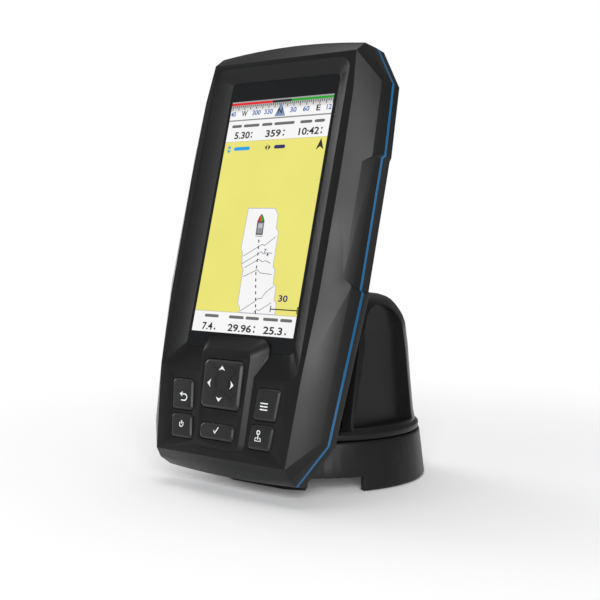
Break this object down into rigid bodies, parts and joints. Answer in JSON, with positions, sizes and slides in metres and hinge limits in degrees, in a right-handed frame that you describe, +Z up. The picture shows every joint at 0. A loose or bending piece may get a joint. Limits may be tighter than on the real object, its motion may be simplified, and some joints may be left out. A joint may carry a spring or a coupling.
{
  "type": "chartplotter display",
  "caption": "Portrait marine chartplotter head with a keypad below its screen, leaning on a tilting and swivelling pedestal mount.",
  "frame": {"origin": "centre of the base's hole pattern, on the surface that the mount stands on", "axes": "+Z up along the swivel axis, -Y towards the user, +X to the user's right"},
  "size_m": [0.0982, 0.1046, 0.1726],
  "materials": {
    "head_shell": "fine grained satin",
    "accent_blue": "satin",
    "black_rubber": "matte",
    "lens_black": "gloss",
    "lcd_glass": "gloss",
    "white_film": "satin",
    "plated_steel": "plated",
    "amber_film": "satin",
    "board_green": "satin",
    "chip_black": "matte",
    "ceramic_tan": "satin",
    "ferrite": "matte",
    "stainless": "satin",
    "grey_rubber": "matte",
    "key_rubber": "satin",
    "socket_black": "satin",
    "pin_brass": "polished",
    "mount_nylon": "satin",
    "white_acetal": "satin"
  },
  "bodies": {
    "base": {"mount_base": "mount_nylon", "base_pad": "black_rubber", "swivel_washer": "white_acetal", "swivel_screw": "stainless", "swivel_retainer": "stainless"},
    "turret": {"pedestal": "mount_nylon"},
    "head": {"front_bezel": "head_shell", "accent_band": "accent_blue", "housing_seal": "black_rubber", "rear_cover": "head_shell", "cover_lens": "lens_black", "lens_adhesive": "black_rubber", "lcd_panel": "lcd_glass", "backlight": "white_film", "display_tray": "plated_steel", "display_ribbon": "amber_film", "main_board": "board_green", "shield_can": "plated_steel", "processor": "chip_black", "gps_antenna": "ceramic_tan", "sounder": "chip_black", "sonar_transformer": "ferrite", "board_screws": "stainless", "keypad_board": "board_green", "key_domes": "stainless", "keypad_mat": "grey_rubber", "power_socket": "socket_black", "socket_pins": "pin_brass", "socket_seal": "black_rubber", "vent_plug": "socket_black", "housing_screws": "stainless", "hinge_bracket": "mount_nylon", "bracket_screws": "stainless", "hinge_pin": "stainless", "tilt_washers": "white_acetal", "latch_spring": "stainless"},
    "pad_rocker": {"pad_rocker": "grey_rubber"},
    "four_way_pad": {"four_way_pad": "key_rubber"},
    "select_key": {"select_key": "key_rubber"},
    "back_key": {"back_key": "key_rubber"},
    "power_key": {"power_key": "key_rubber"},
    "menu_key": {"menu_key": "key_rubber"},
    "mark_key": {"mark_key": "key_rubber"},
    "latch": {"release_latch": "socket_black"}
  },
  "joints": [
    {"name": "swivel", "type": "hinge", "parent": "base", "child": "turret", "pos_m": [0, 0, 0.019], "axis": [0, 0, 1], "range_deg": [-90, 90]},
    {"name": "tilt", "type": "hinge", "parent": "turret", "child": "head", "pos_m": [0, -0.008, 0.058], "axis": [-1, 0, 0], "range_deg": [-1, 25]},
    {"name": "pad_up_down", "type": "hinge", "parent": "head", "child": "pad_rocker", "pos_m": [0, -0.05002, 0.0405], "axis": [1, 0, 0], "range_deg": [-2.5, 2.5], "stiffness_Nm_per_rad": 1},
    {"name": "pad_left_right", "type": "hinge", "parent": "pad_rocker", "child": "four_way_pad", "pos_m": [0, -0.05347, 0.04109], "axis": [0, 0.1685, 0.9857], "range_deg": [-2.5, 2.5], "stiffness_Nm_per_rad": 1},
    {"name": "select_key_press", "type": "slide", "parent": "head", "child": "select_key", "axis": [0, 0.9857, -0.1685], "range_m": [0, 0.0008], "stiffness_N_per_m": 1500, "springref_m": -0.0006},
    {"name": "back_key_press", "type": "slide", "parent": "head", "child": "back_key", "axis": [0, 0.9857, -0.1685], "range_m": [0, 0.0008], "stiffness_N_per_m": 1500, "springref_m": -0.0006},
    {"name": "power_key_press", "type": "slide", "parent": "head", "child": "power_key", "axis": [0, 0.9857, -0.1685], "range_m": [0, 0.0008], "stiffness_N_per_m": 1500, "springref_m": -0.0006},
    {"name": "menu_key_press", "type": "slide", "parent": "head", "child": "menu_key", "axis": [0, 0.9857, -0.1685], "range_m": [0, 0.0008], "stiffness_N_per_m": 1500, "springref_m": -0.0006},
    {"name": "mark_key_press", "type": "slide", "parent": "head", "child": "mark_key", "axis": [0, 0.9857, -0.1685], "range_m": [0, 0.0008], "stiffness_N_per_m": 1500, "springref_m": -0.0006},
    {"name": "latch_slide", "type": "slide", "parent": "head", "child": "latch", "axis": [0, 0.2538, 0.9673], "range_m": [0, 0.0014], "stiffness_N_per_m": 600, "springref_m": -0.001, "deforming": ["latch_spring"]}
  ]
}
